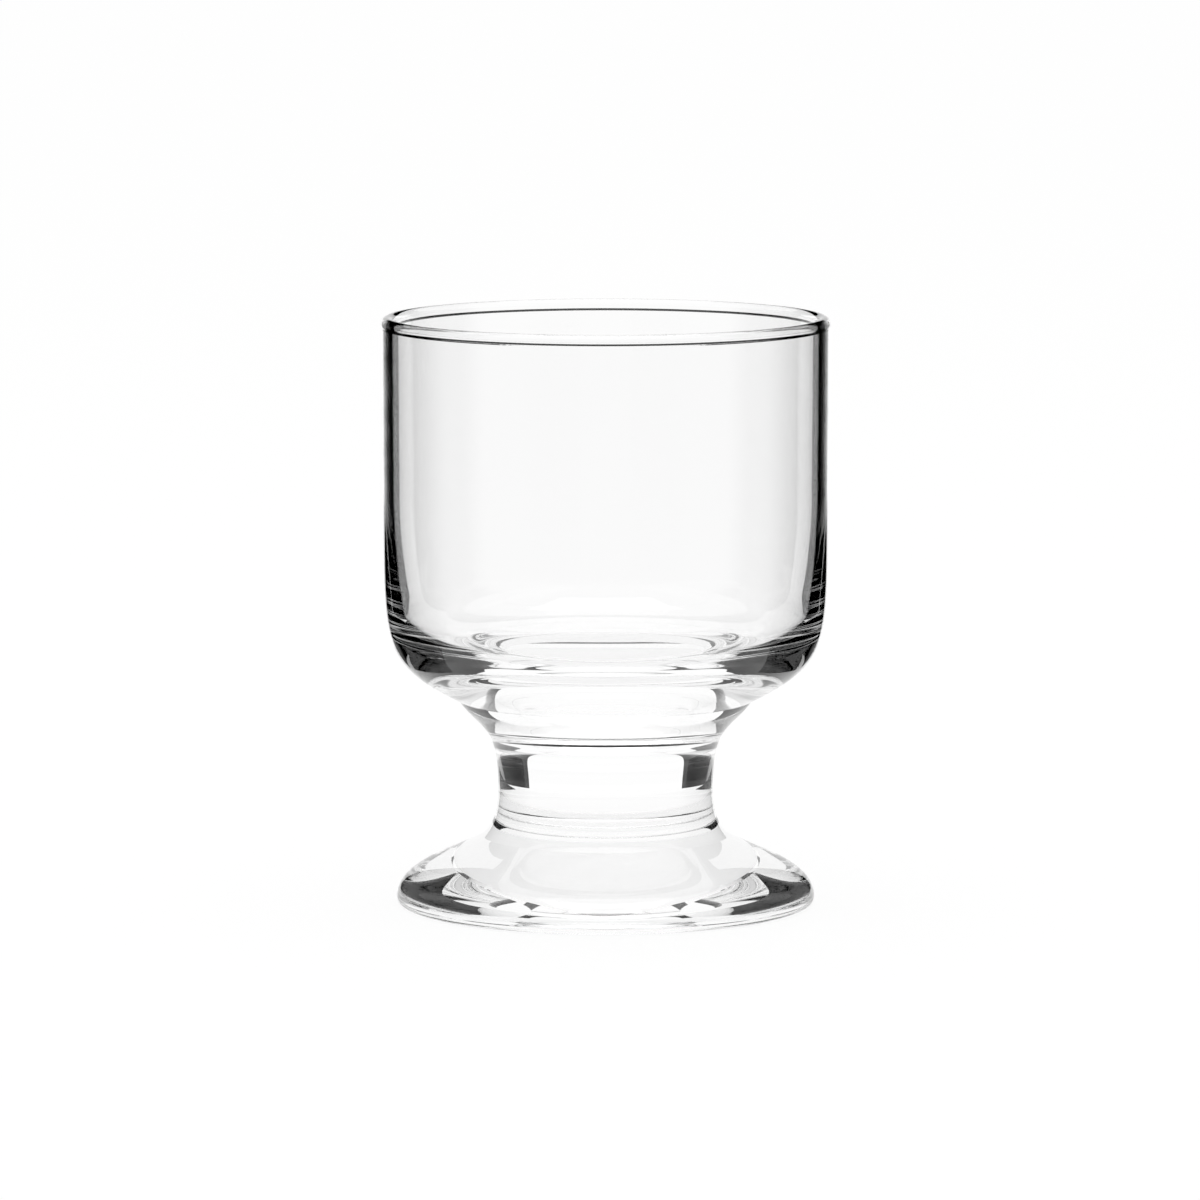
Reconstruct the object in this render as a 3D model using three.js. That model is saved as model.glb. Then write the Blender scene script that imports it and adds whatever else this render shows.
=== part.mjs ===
// A short wine tasting glass in clear glass, made of three pieces that are fused hot, one on the other:
// a domed foot, a solid waisted stem and a thin-walled bowl with a rounded lip.
// Units are millimetres and +Z is up. The origin is the centre of the foot, on the table.
import * as THREE from 'three';

// Heights of the three pieces, stacked from the table up
const FOOT_HEIGHT = 9.5;
const STEM_HEIGHT = 19.0;
const BOWL_HEIGHT = 53.2;

// Radii of the two flat seams where the pieces are fused
const FOOT_SEAM_RADIUS = 17.1;
const BOWL_SEAM_RADIUS = 20.4;

// Foot: a dome with a rounded edge, which stands on a flat ring round a very shallow ground recess
const FOOT_RADIUS = 29.0;
const FOOT_EDGE_ROUNDING = 1.0;
const FOOT_EDGE_RISE = 4.4;
const FOOT_DOME_REACH = 5.1;
const FOOT_DOME_SLOPE_DEG = 31.8;
const RECESS_RADIUS = 19.0;
const RECESS_DEPTH = 0.3;

// Stem: flares from its waist down to the foot and up to the bowl
const WAIST_RADIUS = 14.93;
const WAIST_HEIGHT = 6.9;
const LOWER_FLARE_REACH = 3.4;
const LOWER_SEAM_REACH = 2.4;
const LOWER_SEAM_SLOPE_DEG = 45;
const UPPER_FLARE_REACH = 9.0;
const UPPER_SEAM_REACH = 4.7;
const UPPER_SEAM_SLOPE_DEG = 56;

// Bowl: a nearly straight wall that rounds in to the seam
const BOWL_RADIUS = 30.83;
const WALL_THICKNESS = 1.4;
const WALL_TAPER = 0.11;
const LIP_RADIUS = 0.95;
const LIP_SWELL = 0.16;
const BELLY_TOP = 24.0;
const BELLY_REACH = 17.3;
const BASE_REACH = 11.1;
const BASE_SLOPE_DEG = 27;

// Inside of the bowl: the wall thickens downwards to a shoulder, rounds in to the floor's edge,
// and the floor swells a little towards its middle
const THICKENING_TOP = 29.5;
const THICKENING_REACH = 6.0;
const SHOULDER_HEIGHT = 13.0;
const SHOULDER_THICKNESS = 2.32;
const SHOULDER_LEAN_DEG = 8.8;
const SHOULDER_UPPER_REACH = 4.55;
const SHOULDER_LOWER_REACH = 4.25;
const FLOOR_EDGE_RADIUS = 21.0;
const FLOOR_EDGE_HEIGHT = 6.3;
const FLOOR_EDGE_SLOPE_DEG = 3.3;
const FLOOR_CORNER_REACH = 3.5;
const FLOOR_EDGE_REACH = 7.0;
const FLOOR_MIDDLE_HEIGHT = 7.7;
const FLOOR_MIDDLE_REACH = 7.0;

// Facets round the axis and along each curve of an outline
const TURN_SEGMENTS = 64;
const CURVE_STEPS = 9;
const BEAD_STEPS = 8;
const CREASE_STEPS = 2;
const EDGE_STEPS = 4;

const GLASS_COLOUR = 0xf4f7f6;
const GLASS_ROUGHNESS = 0.03;

const radians = THREE.MathUtils.degToRad;

// A point of an outline: distance from the axis, then height
function at(radius, height) {
  return new THREE.Vector2(radius, height);
}

function sweep(start, startHandle, endHandle, end) {
  return new THREE.CubicBezierCurve(start, startHandle, endHandle, end).getPoints(CURVE_STEPS);
}

function arc(centre, radius, fromAngle, toAngle, steps) {
  const clockwise = toAngle < fromAngle;
  const curve = new THREE.EllipseCurve(centre.x, centre.y, radius, radius, fromAngle, toAngle, clockwise);
  return curve.getPoints(steps);
}

// Turns an outline round the Z axis, leaving out points that repeat the one before
function turnedPiece(name, outline, baseHeight) {
  const points = outline.filter((point, i) => i === 0 || point.distanceTo(outline[i - 1]) > 1e-6);
  const geometry = new THREE.LatheGeometry(points, TURN_SEGMENTS);
  geometry.rotateX(Math.PI / 2);
  const material = new THREE.MeshStandardMaterial({
    color: GLASS_COLOUR,
    roughness: GLASS_ROUGHNESS,
    metalness: 0,
  });
  const piece = new THREE.Mesh(geometry, material);
  piece.name = name;
  piece.position.z = baseHeight;
  return piece;
}

function foot() {
  const recess = [at(0, RECESS_DEPTH), at(RECESS_RADIUS - RECESS_DEPTH, RECESS_DEPTH), at(RECESS_RADIUS, 0)];
  const edgeCentre = at(FOOT_RADIUS - FOOT_EDGE_ROUNDING, FOOT_EDGE_ROUNDING);
  const edge = arc(edgeCentre, FOOT_EDGE_ROUNDING, -Math.PI / 2, 0, EDGE_STEPS);
  const domeSlope = radians(FOOT_DOME_SLOPE_DEG);
  const seam = at(FOOT_SEAM_RADIUS, FOOT_HEIGHT);
  const dome = sweep(
    at(FOOT_RADIUS, FOOT_EDGE_ROUNDING),
    at(FOOT_RADIUS, FOOT_EDGE_ROUNDING + FOOT_EDGE_RISE),
    at(seam.x + FOOT_DOME_REACH * Math.cos(domeSlope), seam.y - FOOT_DOME_REACH * Math.sin(domeSlope)),
    seam,
  );
  return turnedPiece('foot', [...recess, ...edge, ...dome, at(0, FOOT_HEIGHT)], 0);
}

function stem() {
  const lowerSlope = radians(LOWER_SEAM_SLOPE_DEG);
  const upperSlope = radians(UPPER_SEAM_SLOPE_DEG);
  const lowerSeam = at(FOOT_SEAM_RADIUS, 0);
  const upperSeam = at(BOWL_SEAM_RADIUS, STEM_HEIGHT);
  const waist = at(WAIST_RADIUS, WAIST_HEIGHT);
  const lowerFlare = sweep(
    lowerSeam,
    at(lowerSeam.x - LOWER_SEAM_REACH * Math.cos(lowerSlope), LOWER_SEAM_REACH * Math.sin(lowerSlope)),
    at(waist.x, waist.y - LOWER_FLARE_REACH),
    waist,
  );
  const upperFlare = sweep(
    waist,
    at(waist.x, waist.y + UPPER_FLARE_REACH),
    at(
      upperSeam.x - UPPER_SEAM_REACH * Math.cos(upperSlope),
      upperSeam.y - UPPER_SEAM_REACH * Math.sin(upperSlope),
    ),
    upperSeam,
  );
  return turnedPiece('stem', [at(0, 0), ...lowerFlare, ...upperFlare, at(0, STEM_HEIGHT)], FOOT_HEIGHT);
}

function bowl() {
  const seam = at(BOWL_SEAM_RADIUS, 0);
  const baseSlope = radians(BASE_SLOPE_DEG);
  const bellyRadius = BOWL_RADIUS - WALL_TAPER;
  const belly = sweep(
    seam,
    at(seam.x + BASE_REACH * Math.cos(baseSlope), BASE_REACH * Math.sin(baseSlope)),
    at(bellyRadius, BELLY_TOP - BELLY_REACH),
    at(bellyRadius, BELLY_TOP),
  );
  const lipCentre = at(BOWL_RADIUS + LIP_SWELL - LIP_RADIUS, BOWL_HEIGHT - LIP_RADIUS);
  const outerCrease = Math.acos((BOWL_RADIUS - lipCentre.x) / LIP_RADIUS);
  const innerCrease = Math.acos((lipCentre.x - BOWL_RADIUS + WALL_THICKNESS) / LIP_RADIUS);
  const lip = [
    ...arc(lipCentre, LIP_RADIUS, -outerCrease, 0, CREASE_STEPS),
    ...arc(lipCentre, LIP_RADIUS, 0, Math.PI, BEAD_STEPS),
    ...arc(lipCentre, LIP_RADIUS, Math.PI, Math.PI + innerCrease, CREASE_STEPS),
  ];
  const lean = radians(SHOULDER_LEAN_DEG);
  const shoulder = at(bellyRadius - SHOULDER_THICKNESS, SHOULDER_HEIGHT);
  const innerWall = sweep(
    at(bellyRadius - WALL_THICKNESS, THICKENING_TOP),
    at(bellyRadius - WALL_THICKNESS, THICKENING_TOP - THICKENING_REACH),
    at(shoulder.x + SHOULDER_UPPER_REACH * Math.sin(lean), shoulder.y + SHOULDER_UPPER_REACH * Math.cos(lean)),
    shoulder,
  );
  const floorSlope = radians(FLOOR_EDGE_SLOPE_DEG);
  const floorEdge = at(FLOOR_EDGE_RADIUS, FLOOR_EDGE_HEIGHT);
  const corner = sweep(
    shoulder,
    at(shoulder.x - SHOULDER_LOWER_REACH * Math.sin(lean), shoulder.y - SHOULDER_LOWER_REACH * Math.cos(lean)),
    at(
      floorEdge.x + FLOOR_CORNER_REACH * Math.cos(floorSlope),
      floorEdge.y + FLOOR_CORNER_REACH * Math.sin(floorSlope),
    ),
    floorEdge,
  );
  const floor = sweep(
    floorEdge,
    at(
      floorEdge.x - FLOOR_EDGE_REACH * Math.cos(floorSlope),
      floorEdge.y - FLOOR_EDGE_REACH * Math.sin(floorSlope),
    ),
    at(FLOOR_MIDDLE_REACH, FLOOR_MIDDLE_HEIGHT),
    at(0, FLOOR_MIDDLE_HEIGHT),
  );
  const outline = [at(0, 0), ...belly, ...lip, ...innerWall, ...corner, ...floor];
  return turnedPiece('bowl', outline, FOOT_HEIGHT + STEM_HEIGHT);
}

const glass = new THREE.Group();
glass.add(foot(), stem(), bowl());

export default glass;
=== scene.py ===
import math

import bpy
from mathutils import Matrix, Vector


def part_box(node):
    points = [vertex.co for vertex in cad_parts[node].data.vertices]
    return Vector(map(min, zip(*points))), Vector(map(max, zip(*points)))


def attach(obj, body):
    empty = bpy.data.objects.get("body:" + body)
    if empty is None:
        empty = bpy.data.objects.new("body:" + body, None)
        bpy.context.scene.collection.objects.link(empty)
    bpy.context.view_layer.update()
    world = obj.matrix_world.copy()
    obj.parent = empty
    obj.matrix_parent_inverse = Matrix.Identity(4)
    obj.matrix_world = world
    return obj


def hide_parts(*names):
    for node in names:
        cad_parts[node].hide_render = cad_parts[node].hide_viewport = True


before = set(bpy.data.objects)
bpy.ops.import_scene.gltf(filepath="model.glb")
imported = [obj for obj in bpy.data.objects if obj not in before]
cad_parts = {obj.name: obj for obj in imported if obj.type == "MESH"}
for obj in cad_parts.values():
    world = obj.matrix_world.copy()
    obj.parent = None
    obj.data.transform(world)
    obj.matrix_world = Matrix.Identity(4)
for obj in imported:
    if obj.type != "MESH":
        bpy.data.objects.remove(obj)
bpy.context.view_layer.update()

# The bowl: a thin-walled cup of clear glass, blown into a mould, with its lip melted round in a flame.
# Its wall thickens downwards into a heavy floor, and it is fused to the stem on a flat seam.
bowl_low, bowl_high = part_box("bowl")
stem_low, stem_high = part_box("stem")
seam_height = bowl_low.z
bowl_seam_radius = stem_high.x

lip_radius = 0.00095
lip_swell = 0.00016
wall_thickness = 0.0014
wall_taper = 0.00011
bowl_radius = bowl_high.x - lip_swell
belly_top = seam_height + 0.0240
belly_reach = 0.0173
base_reach = 0.0111
base_slope = math.radians(27)
thickening_top = seam_height + 0.0295
thickening_reach = 0.0060
shoulder_height = seam_height + 0.0130
shoulder_thickness = 0.00232
shoulder_lean = math.radians(8.8)
shoulder_upper_reach = 0.00455
shoulder_lower_reach = 0.00425
floor_edge_radius = 0.0210
floor_edge_height = seam_height + 0.0063
floor_edge_slope = math.radians(3.3)
floor_corner_reach = 0.0035
floor_edge_reach = 0.0070
floor_middle_height = seam_height + 0.0077
floor_middle_reach = 0.0070

glass_ior = 1.52
ripple_squeeze = 2.5
smoothest_polish = 0.005
dullest_polish = 0.025
turn_segments = 192
crease_limit = math.radians(18)


def along_curve(start, start_handle, end_handle, end, steps=40):
    """Points of a smooth curve between two points of an outline, ends included."""
    points = []
    for i in range(steps + 1):
        t = i / steps
        weights = ((1 - t) ** 3, 3 * t * (1 - t) ** 2, 3 * t * t * (1 - t), t ** 3)
        corners = (start, start_handle, end_handle, end)
        radius = sum(w * c[0] for w, c in zip(weights, corners))
        height = sum(w * c[1] for w, c in zip(weights, corners))
        points.append((radius, height))
    return points


def along_arc(centre, radius, first_angle, last_angle, steps):
    """Points of a round stretch of an outline, ends included."""
    points = []
    for i in range(steps + 1):
        angle = first_angle + (last_angle - first_angle) * i / steps
        points.append((centre[0] + radius * math.cos(angle), centre[1] + radius * math.sin(angle)))
    return points


def along_line(start, end, steps=24):
    """Points of a straight stretch of an outline, ends included."""
    return [tuple(a + (b - a) * i / steps for a, b in zip(start, end)) for i in range(steps + 1)]


def turned_piece(name, outline):
    """Turns an outline, which starts and ends on the axis, round the Z axis into one closed mesh."""
    kept = [outline[0]]
    for point in outline[1:]:
        if math.dist(point, kept[-1]) > 1e-7:
            kept.append(point)
    rings = kept[1:-1]
    vertices = [(0.0, 0.0, kept[0][1])]
    for radius, height in rings:
        for i in range(turn_segments):
            angle = 2 * math.pi * i / turn_segments
            vertices.append((radius * math.cos(angle), radius * math.sin(angle), height))
    vertices.append((0.0, 0.0, kept[-1][1]))
    last = len(vertices) - 1
    faces = []
    for i in range(turn_segments):
        j = (i + 1) % turn_segments
        faces.append((0, 1 + j, 1 + i))
        for k in range(len(rings) - 1):
            low, high = 1 + k * turn_segments, 1 + (k + 1) * turn_segments
            faces.append((low + i, low + j, high + j, high + i))
        top = 1 + (len(rings) - 1) * turn_segments
        faces.append((top + i, top + j, last))
    mesh = bpy.data.meshes.new(name)
    mesh.from_pydata(vertices, [], faces)
    mesh.shade_smooth()
    mesh.set_sharp_from_angle(angle=crease_limit)
    mesh.update()
    piece = bpy.data.objects.new(name, mesh)
    bpy.context.scene.collection.objects.link(piece)
    return piece


def clear_glass(name, ripple_depth, ripple_spacing):
    """Clear glass with the faint rings and swells that a mould leaves, and a slightly uneven polish."""
    material = bpy.data.materials.new(name)
    material.use_nodes = True
    tree = material.node_tree
    shader = tree.nodes["Principled BSDF"]
    shader.inputs["Base Color"].default_value = (1, 1, 1, 1)
    shader.inputs["Transmission Weight"].default_value = 1.0
    shader.inputs["IOR"].default_value = glass_ior
    place = tree.nodes.new("ShaderNodeTexCoord")
    flatten = tree.nodes.new("ShaderNodeMapping")
    flatten.inputs["Scale"].default_value = (1, 1, ripple_squeeze)
    tree.links.new(place.outputs["Object"], flatten.inputs["Vector"])
    swells = tree.nodes.new("ShaderNodeTexNoise")
    swells.inputs["Scale"].default_value = 1 / ripple_spacing
    swells.inputs["Detail"].default_value = 1.0
    tree.links.new(flatten.outputs["Vector"], swells.inputs["Vector"])
    relief = tree.nodes.new("ShaderNodeBump")
    relief.inputs["Strength"].default_value = 1.0
    relief.inputs["Distance"].default_value = ripple_depth
    tree.links.new(swells.outputs["Fac"], relief.inputs["Height"])
    tree.links.new(relief.outputs["Normal"], shader.inputs["Normal"])
    polish = tree.nodes.new("ShaderNodeMapRange")
    polish.inputs["To Min"].default_value = smoothest_polish
    polish.inputs["To Max"].default_value = dullest_polish
    tree.links.new(swells.outputs["Fac"], polish.inputs["Value"])
    tree.links.new(polish.outputs["Result"], shader.inputs["Roughness"])
    return material


def fused_seam(name):
    """Inside one run of glass a fused seam can't be seen, so light passes it straight."""
    material = bpy.data.materials.new(name)
    material.use_nodes = True
    nodes = material.node_tree.nodes
    nodes.clear()
    clear = nodes.new("ShaderNodeBsdfTransparent")
    output = nodes.new("ShaderNodeOutputMaterial")
    material.node_tree.links.new(clear.outputs["BSDF"], output.inputs["Surface"])
    return material


seam_material = fused_seam("fused_seam")


def finish_flat_faces(piece, finish, height, within):
    """Gives a finish to the faces that lie level at a height, within a distance of the axis."""
    piece.data.materials.append(finish)
    index = len(piece.data.materials) - 1
    for face in piece.data.polygons:
        corners = [piece.data.vertices[v].co for v in face.vertices]
        level = all(abs(corner.z - height) < 1e-6 for corner in corners)
        if level and all(corner.xy.length < within + 1e-6 for corner in corners):
            face.material_index = index
            face.use_smooth = False


seam_edge = (bowl_seam_radius, seam_height)
belly_radius = bowl_radius - wall_taper
belly = along_curve(
    seam_edge,
    (seam_edge[0] + base_reach * math.cos(base_slope), seam_height + base_reach * math.sin(base_slope)),
    (belly_radius, belly_top - belly_reach),
    (belly_radius, belly_top),
)
lip_centre = (bowl_high.x - lip_radius, bowl_high.z - lip_radius)
outer_crease = math.acos((bowl_radius - lip_centre[0]) / lip_radius)
inner_crease = math.acos((lip_centre[0] - bowl_radius + wall_thickness) / lip_radius)
lip = along_arc(lip_centre, lip_radius, -outer_crease, math.pi + inner_crease, 30)


def beside(point, reach, angle):
    """The point at a reach from another, in a direction that counts from straight out, upwards."""
    return (point[0] + reach * math.cos(angle), point[1] + reach * math.sin(angle))


thin_wall = (belly_radius - wall_thickness, thickening_top)
shoulder = (belly_radius - shoulder_thickness, shoulder_height)
floor_edge = (floor_edge_radius, floor_edge_height)
shoulder_angle = math.pi / 2 - shoulder_lean
thickening = along_curve(
    thin_wall,
    (thin_wall[0], thickening_top - thickening_reach),
    beside(shoulder, shoulder_upper_reach, shoulder_angle),
    shoulder,
)
corner = along_curve(
    shoulder,
    beside(shoulder, -shoulder_lower_reach, shoulder_angle),
    beside(floor_edge, floor_corner_reach, floor_edge_slope),
    floor_edge,
)
bowl_floor = along_curve(
    floor_edge,
    beside(floor_edge, -floor_edge_reach, floor_edge_slope),
    (floor_middle_reach, floor_middle_height),
    (0, floor_middle_height),
)
outer_wall = along_line(belly[-1], lip[0])
inner_wall = along_line(lip[-1], thin_wall)
bowl_outline = [(0, seam_height), *belly, *outer_wall, *lip, *inner_wall, *thickening, *corner, *bowl_floor]
bowl = turned_piece("blown_bowl", bowl_outline)
bowl.data.materials.append(clear_glass("bowl_glass", ripple_depth=0.00001, ripple_spacing=0.012))
finish_flat_faces(bowl, seam_material, seam_height, bowl_seam_radius)
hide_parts("bowl")
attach(bowl, "root")

# The stem: a short solid waisted post of the same glass, pressed hot onto the bowl.
# It flares at both ends, where flat seams fuse it to the bowl above and the foot below.
stem_base = stem_low.z
foot_seam_radius = 0.0171
waist_radius = 0.01493
waist_height = stem_base + 0.0069
lower_flare_reach = 0.0034
lower_seam_reach = 0.0024
lower_seam_slope = math.radians(45)
upper_flare_reach = 0.0090
upper_seam_reach = 0.0047
upper_seam_slope = math.radians(56)

waist = (waist_radius, waist_height)
lower_flare = along_curve(
    (foot_seam_radius, stem_base),
    (
        foot_seam_radius - lower_seam_reach * math.cos(lower_seam_slope),
        stem_base + lower_seam_reach * math.sin(lower_seam_slope),
    ),
    (waist_radius, waist_height - lower_flare_reach),
    waist,
)
upper_flare = along_curve(
    waist,
    (waist_radius, waist_height + upper_flare_reach),
    (
        bowl_seam_radius - upper_seam_reach * math.cos(upper_seam_slope),
        seam_height - upper_seam_reach * math.sin(upper_seam_slope),
    ),
    seam_edge,
)
stem = turned_piece("solid_stem", [(0, stem_base), *lower_flare, *upper_flare, (0, seam_height)])
stem.data.materials.append(clear_glass("stem_glass", ripple_depth=0.00001, ripple_spacing=0.010))
finish_flat_faces(stem, seam_material, stem_base, foot_seam_radius)
finish_flat_faces(stem, seam_material, seam_height, bowl_seam_radius)
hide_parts("stem")
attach(stem, "root")

# The foot: a domed disc of the same glass, pressed and fused under the stem, with a rounded edge.
# It stands on a clear flat ring, and inside that ring its underside is ground matt in a shallow recess.
foot_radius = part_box("foot")[1].x
foot_edge_rounding = 0.0010
foot_edge_rise = 0.0044
foot_dome_reach = 0.0051
foot_dome_slope = math.radians(31.8)
recess_radius = 0.0190
recess_depth = 0.0003
grit_per_metre = 1500
darkest_grit = 0.94

upright = math.pi / 2
ring_outer_radius = foot_radius - foot_edge_rounding
recess_floor_radius = recess_radius - recess_depth
edge = along_arc((ring_outer_radius, foot_edge_rounding), foot_edge_rounding, -upright, 0, 16)
dome = along_curve(
    (foot_radius, foot_edge_rounding),
    (foot_radius, foot_edge_rounding + foot_edge_rise),
    (
        foot_seam_radius + foot_dome_reach * math.cos(foot_dome_slope),
        stem_base - foot_dome_reach * math.sin(foot_dome_slope),
    ),
    (foot_seam_radius, stem_base),
)
underside = [(0, recess_depth), (recess_floor_radius, recess_depth), (recess_radius, 0)]
foot = turned_piece("domed_foot", [*underside, *edge, *dome, (0, stem_base)])
foot.data.materials.append(clear_glass("foot_glass", ripple_depth=0.00001, ripple_spacing=0.010))
finish_flat_faces(foot, seam_material, stem_base, foot_seam_radius)


def ground_glass(name):
    """Glass ground matt with fine grit: a faintly mottled surface that scatters all that passes it."""
    material = bpy.data.materials.new(name)
    material.use_nodes = True
    tree = material.node_tree
    tree.nodes.clear()
    scatter = tree.nodes.new("ShaderNodeBsdfTranslucent")
    output = tree.nodes.new("ShaderNodeOutputMaterial")
    tree.links.new(scatter.outputs["BSDF"], output.inputs["Surface"])
    place = tree.nodes.new("ShaderNodeTexCoord")
    grit = tree.nodes.new("ShaderNodeTexNoise")
    grit.inputs["Scale"].default_value = grit_per_metre
    tree.links.new(place.outputs["Object"], grit.inputs["Vector"])
    matt = tree.nodes.new("ShaderNodeMapRange")
    matt.inputs["To Min"].default_value = darkest_grit
    matt.inputs["To Max"].default_value = 1.0
    tree.links.new(grit.outputs["Fac"], matt.inputs["Value"])
    tree.links.new(matt.outputs["Result"], scatter.inputs["Color"])
    return material


finish_flat_faces(foot, ground_glass("ground_underside"), recess_depth, recess_radius)
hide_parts("foot")
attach(foot, "root")

# The camera: a long lens about a metre from the glass and a little above it,
# as for a catalogue picture.
camera_distance = 1.0641
camera_height = 0.17116
camera_pitch = math.radians(6.905)
camera_focal_px = 7739.3
frame_px = 1200
camera_side = -0.00078
camera_data = bpy.data.cameras.new("camera")
camera_data.sensor_width = 36.0
camera_data.lens = camera_focal_px * camera_data.sensor_width / frame_px
camera = bpy.data.objects.new("camera", camera_data)
camera.location = (camera_side, -camera_distance, camera_height)
camera.rotation_euler = (math.pi / 2 - camera_pitch, 0, 0)
bpy.context.scene.collection.objects.link(camera)
bpy.context.scene.camera = camera

# The floor: a plain white sheet that runs far behind the glass and keeps a faint shadow.
# Rays that show it in the picture, directly, mirrored or through glass, see it white.
floor_size = 6.0
floor_drop = 0.00005
floor_white = (0.9, 0.9, 0.9, 1)
glow_share = 0.92


def white_where_seen(tree):
    """1 for rays that show a surface in the picture, directly, mirrored or through glass, else 0."""
    path = tree.nodes.new("ShaderNodeLightPath")
    first = tree.nodes.new("ShaderNodeMath")
    first.operation = "MAXIMUM"
    tree.links.new(path.outputs["Is Camera Ray"], first.inputs[0])
    tree.links.new(path.outputs["Is Glossy Ray"], first.inputs[1])
    second = tree.nodes.new("ShaderNodeMath")
    second.operation = "MAXIMUM"
    tree.links.new(first.outputs[0], second.inputs[0])
    tree.links.new(path.outputs["Is Transmission Ray"], second.inputs[1])
    return second.outputs[0]


def flat_sheet(name, corners, material):
    """A studio sheet that isn't part of the glass."""
    mesh = bpy.data.meshes.new(name)
    mesh.from_pydata(corners, [], [tuple(range(len(corners)))])
    mesh.materials.append(material)
    sheet = bpy.data.objects.new(name, mesh)
    bpy.context.scene.collection.objects.link(sheet)
    return sheet


floor_material = bpy.data.materials.new("white_floor")
floor_material.use_nodes = True
tree = floor_material.node_tree
tree.nodes.clear()
diffuse = tree.nodes.new("ShaderNodeBsdfDiffuse")
diffuse.inputs["Color"].default_value = floor_white
glow = tree.nodes.new("ShaderNodeEmission")
share = tree.nodes.new("ShaderNodeMath")
share.operation = "MULTIPLY"
share.inputs[1].default_value = glow_share
tree.links.new(white_where_seen(tree), share.inputs[0])
mix = tree.nodes.new("ShaderNodeMixShader")
tree.links.new(share.outputs[0], mix.inputs["Fac"])
tree.links.new(diffuse.outputs["BSDF"], mix.inputs[1])
tree.links.new(glow.outputs["Emission"], mix.inputs[2])
output = tree.nodes.new("ShaderNodeOutputMaterial")
tree.links.new(mix.outputs["Shader"], output.inputs["Surface"])
half = floor_size / 2
floor_corners = [(x, y, -floor_drop) for x, y in ((-half, -half), (half, -half), (half, half), (-half, half))]
flat_sheet("floor", floor_corners, floor_material)

# The surround: a curved screen, black at both sides and glowing a soft grey in front, which gives clear glass
# its dark edges against the white behind it, as on a bright-field table. Its grey front is painted light: a
# glow that is no lamp, seen only in the glass. It turns with the camera, as on a turntable.
surround_radius = 0.110
surround_height = 0.130
surround_opening = math.radians(29)
surround_steps = 35
fade_start = math.radians(84)
fade_end = math.radians(100)
# The strength of the painted grey glow at the front of the surround.
front_glow = 0.7


def dark_and_glowing_card(name):
    """Black at the sides, fading to a soft grey glow towards the front: painted light, seen only in the
    glass.
    """
    material = bpy.data.materials.new(name)
    material.use_nodes = True
    tree = material.node_tree
    tree.nodes.clear()
    place = tree.nodes.new("ShaderNodeTexCoord")
    split = tree.nodes.new("ShaderNodeSeparateXYZ")
    tree.links.new(place.outputs["Object"], split.inputs["Vector"])
    fade = tree.nodes.new("ShaderNodeMapRange")
    fade.inputs["From Min"].default_value = surround_radius * math.cos(fade_start)
    fade.inputs["From Max"].default_value = surround_radius * math.cos(fade_end)
    fade.inputs["To Min"].default_value = 0.0
    fade.inputs["To Max"].default_value = front_glow
    tree.links.new(split.outputs["Y"], fade.inputs["Value"])
    # Painted light: the card is an emission shader, black where its strength is 0 and glowing grey where it
    # rises.
    glow = tree.nodes.new("ShaderNodeEmission")
    tree.links.new(fade.outputs["Result"], glow.inputs["Strength"])
    output = tree.nodes.new("ShaderNodeOutputMaterial")
    tree.links.new(glow.outputs["Emission"], output.inputs["Surface"])
    return material


def turned_to_camera(card):
    """Seen only in the glass, and turned about the glass's axis so that its front faces the camera."""
    card.visible_camera = False
    card.visible_diffuse = False
    card.visible_shadow = False
    facing = card.constraints.new("LOCKED_TRACK")
    facing.target = camera
    facing.track_axis = "TRACK_NEGATIVE_Y"
    facing.lock_axis = "LOCK_Z"
    return card


def curved_sheet(name, first_edge, last_edge, first, last, steps, material):
    """A studio sheet swept round the axis. Each edge is (radius, height); angles count from behind."""
    corners = []
    for i in range(steps + 1):
        angle = first + (last - first) * i / steps
        for radius, height in (first_edge, last_edge):
            corners.append((radius * math.sin(angle), radius * math.cos(angle), height))
    mesh = bpy.data.meshes.new(name)
    mesh.from_pydata(corners, [], [(2 * i, 2 * i + 2, 2 * i + 3, 2 * i + 1) for i in range(steps)])
    mesh.materials.append(material)
    sheet = bpy.data.objects.new(name, mesh)
    bpy.context.scene.collection.objects.link(sheet)
    return sheet


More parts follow.
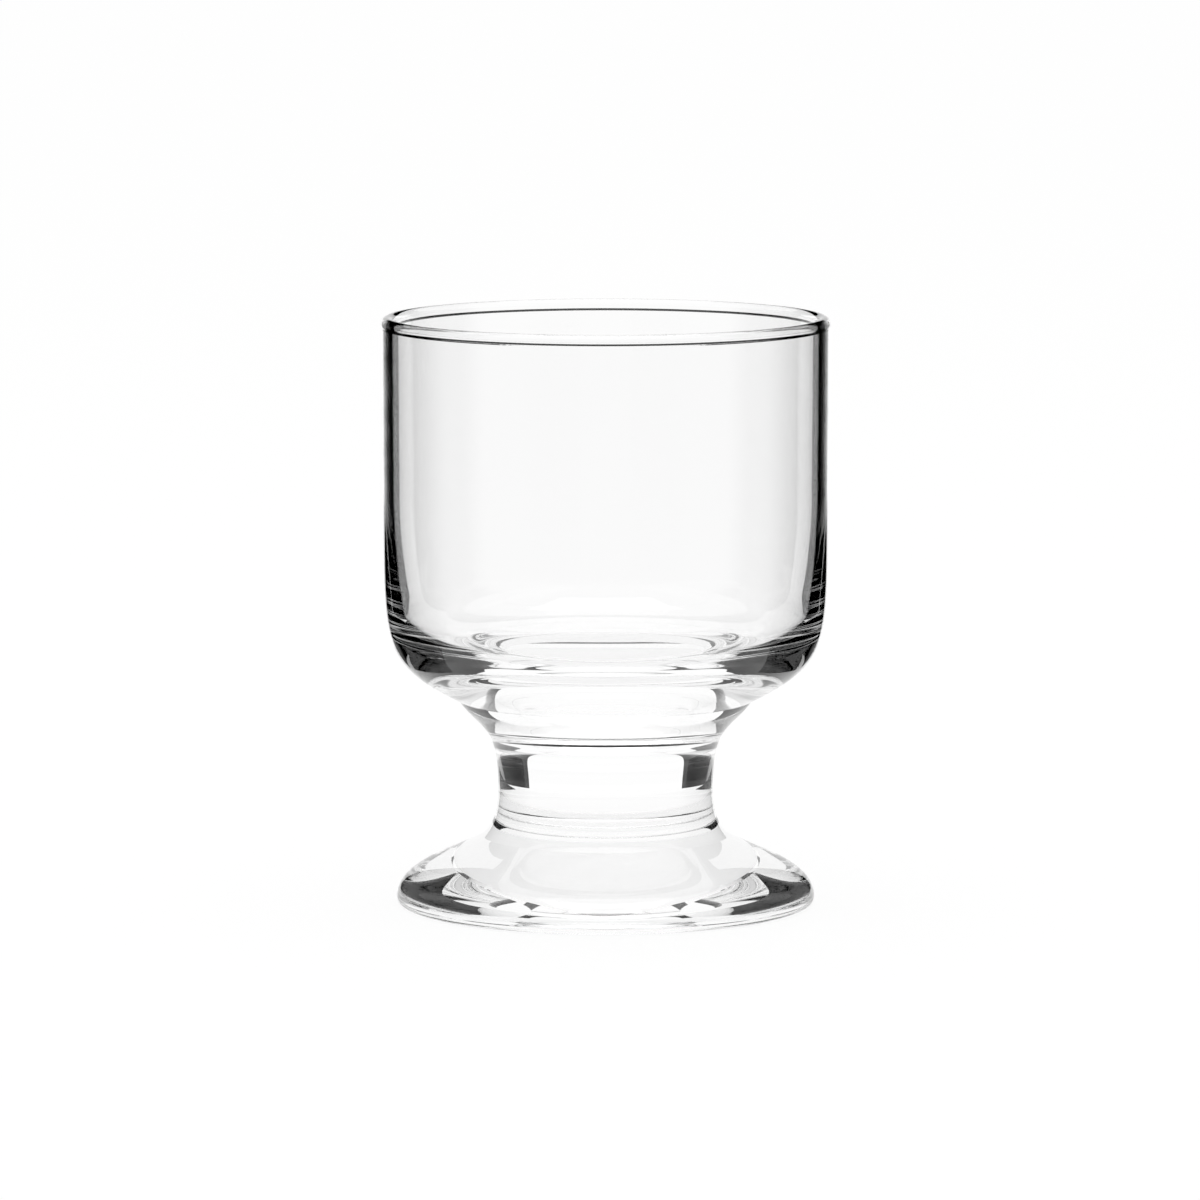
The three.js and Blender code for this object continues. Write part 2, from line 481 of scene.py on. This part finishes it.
card_material = dark_and_glowing_card("dark_and_glowing_card")
surround = curved_sheet(
    "black_surround",
    (surround_radius, 0),
    (surround_radius, surround_height),
    surround_opening,
    2 * math.pi - surround_opening,
    2 * surround_steps,
    card_material,
)
turned_to_camera(surround)

# The side mats: two black sheets on the floor beside the glass, seen only in the glass like the surround.
# They darken the bars in the stem and the edge of the foot. Along their front edge they glow a faint grey,
# painted light like the surround's front.
mat_inner_edge = 0.056
mat_front_edge = 0.0
mat_back_edge = 0.070
mat_lift = 0.0001
for side in (-1, 1):
    mat_corners = [
        (side * mat_inner_edge, mat_front_edge, mat_lift),
        (side * surround_radius, mat_front_edge, mat_lift),
        (side * surround_radius, mat_back_edge, mat_lift),
        (side * mat_inner_edge, mat_back_edge, mat_lift),
    ]
    turned_to_camera(flat_sheet("side_mat", mat_corners, card_material))

# The lip strip: a dark bar behind and above the glass, seen only in the glass like the surround.
# It draws the dark lines in the round lip.
strip_low = 0.100
strip_high = 0.135
strip = curved_sheet(
    "lip_strip",
    (surround_radius, strip_low),
    (surround_radius, strip_high),
    -surround_opening,
    surround_opening,
    surround_steps,
    card_material,
)
turned_to_camera(strip)

# The lamp: one broad soft lamp straight above the glass,
# which lays the faint shadow on the floor.
lamp_size = 0.6
lamp_power = 2.0
lamp_height = 0.9
lamp_data = bpy.data.lights.new("soft_lamp", "AREA")
lamp_data.size = lamp_size
lamp_data.energy = lamp_power
lamp = bpy.data.objects.new("soft_lamp", lamp_data)
lamp.location = (0, 0, lamp_height)
bpy.context.scene.collection.objects.link(lamp)

# The studio: an even white room round the table.
# Its white is what shows behind the floor and through the glass.
world = bpy.data.worlds.new("studio")
bpy.context.scene.world = world
world.use_nodes = True
background = world.node_tree.nodes["Background"]
background.inputs["Color"].default_value = (1, 1, 1, 1)
background.inputs["Strength"].default_value = 1.0

bpy.context.scene.view_settings.view_transform = "Standard"

# Light is followed through as many passes as thick glass needs, where it runs along inside the corner.
light_paths = bpy.context.scene.cycles
light_paths.max_bounces = 24
light_paths.glossy_bounces = 16
light_paths.transmission_bounces = 24
light_paths.transparent_max_bounces = 24
